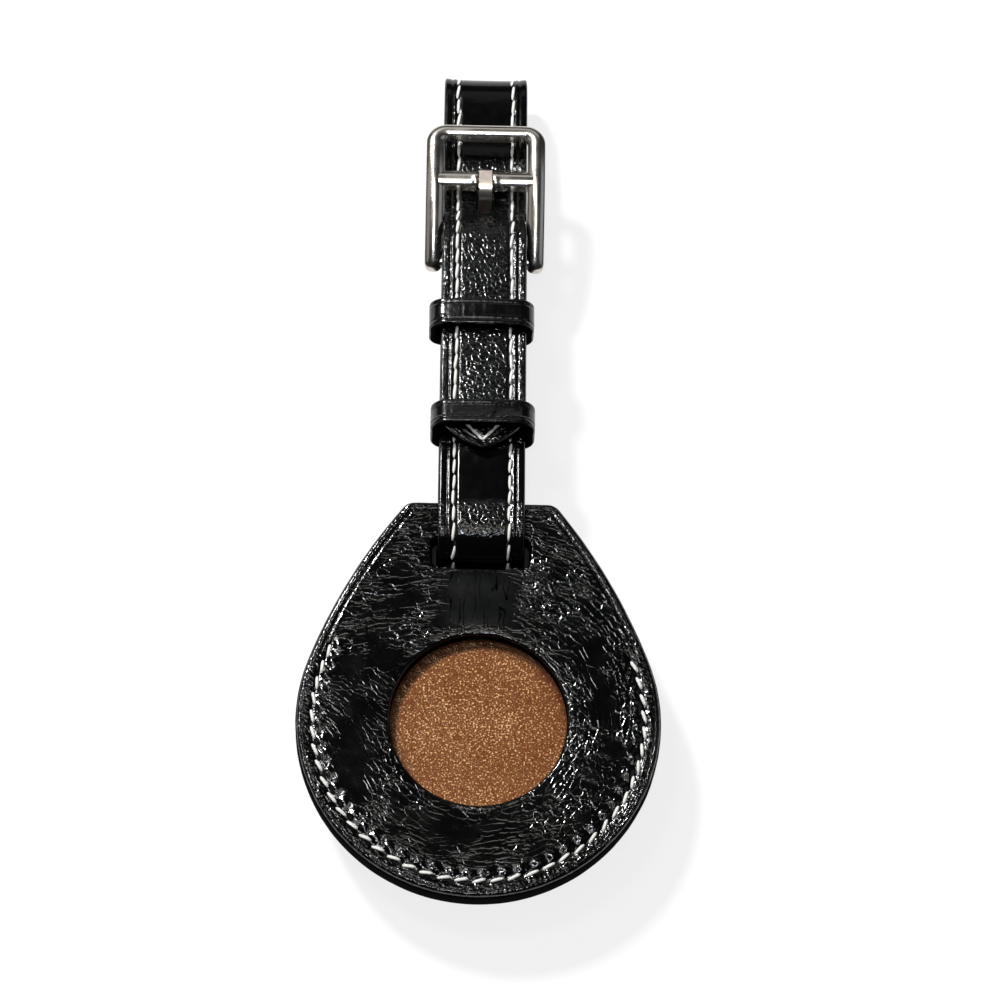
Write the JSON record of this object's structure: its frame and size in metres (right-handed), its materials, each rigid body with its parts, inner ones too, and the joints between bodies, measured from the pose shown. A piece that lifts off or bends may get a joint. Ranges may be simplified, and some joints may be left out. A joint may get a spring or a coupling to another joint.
{
  "type": "bluetooth tracker tag",
  "caption": "Sewn leather tracker pocket with a round front window and moulded back, hung on a folded leather strap with keepers and a tongue buckle.",
  "frame": {"origin": "centre of the round body on its resting plane, under the moulded back", "axes": "+X to the right of the tag as it lies on its back, +Y from the body up the strap to its free loop, +Z out of the front"},
  "size_m": [0.054, 0.137, 0.0203],
  "materials": {
    "glazed_leather": "glazed black calf with a fine grain and painted edges",
    "black_lining": "smooth black lining leather",
    "filler_leather": "unfinished split leather",
    "tan_leather": "vegetable-tanned, fine pebble grain, semi-matt",
    "buckle_steel": "polished",
    "white_plastic": "gloss white moulded plastic",
    "cover_steel": "polished stainless steel",
    "gasket_rubber": "soft moulded silicone",
    "battery_steel": "nickel-plated, satin",
    "contact_brass": "gold-plated spring brass",
    "board_laminate": "solder mask over glass-epoxy laminate",
    "chip_plastic": "black moulding compound",
    "antenna_plastic": "moulded antenna carrier",
    "magnet_nickel": "nickel-plated magnet",
    "coil_copper": "enamelled copper wire"
  },
  "bodies": {
    "pocket": {"front_panel": "glazed_leather", "front_lining": "black_lining", "pocket_facing": "tan_leather", "back_lining": "black_lining", "back_panel": "glazed_leather", "tracker_shell": "white_plastic", "battery_tray": "white_plastic", "coin_battery": "battery_steel", "battery_contacts": "contact_brass", "circuit_board": "board_laminate", "board_chips": "chip_plastic", "antenna_ring": "antenna_plastic", "speaker_magnet": "magnet_nickel", "voice_coil": "coil_copper"},
    "cover": {"tracker_cover": "cover_steel", "cover_gasket": "gasket_rubber"},
    "strap": {"strap_outer": "glazed_leather", "strap_lining": "black_lining", "strap_filler": "filler_leather", "fixed_keeper": "glazed_leather"},
    "keeper": {"sliding_keeper": "glazed_leather"},
    "buckle": {"buckle_frame": "buckle_steel"},
    "tongue": {"buckle_tongue": "buckle_steel"}
  },
  "joints": [
    {"name": "cover_twist", "type": "hinge", "parent": "pocket", "child": "cover", "pos_m": [0, 0, 0.0018], "axis": [0, 0, 1], "range_deg": [-20, 0]},
    {"name": "strap_swing", "type": "hinge", "parent": "pocket", "child": "strap", "pos_m": [0, 0.0301, 0.01065], "axis": [1, 0, 0], "range_deg": [-6, 14]},
    {"name": "keeper_slide", "type": "slide", "parent": "strap", "child": "keeper", "axis": [0, 0.9979, -0.064], "range_m": [-0.008, 0.005]},
    {"name": "buckle_pivot", "type": "hinge", "parent": "strap", "child": "buckle", "pos_m": [0, 0.0756, 0.01079], "axis": [1, 0, 0], "range_deg": [0, 3]},
    {"name": "tongue_pivot", "type": "hinge", "parent": "buckle", "child": "tongue", "pos_m": [0, 0.0756, 0.01079], "axis": [1, 0, 0], "range_deg": [0, 2]}
  ]
}
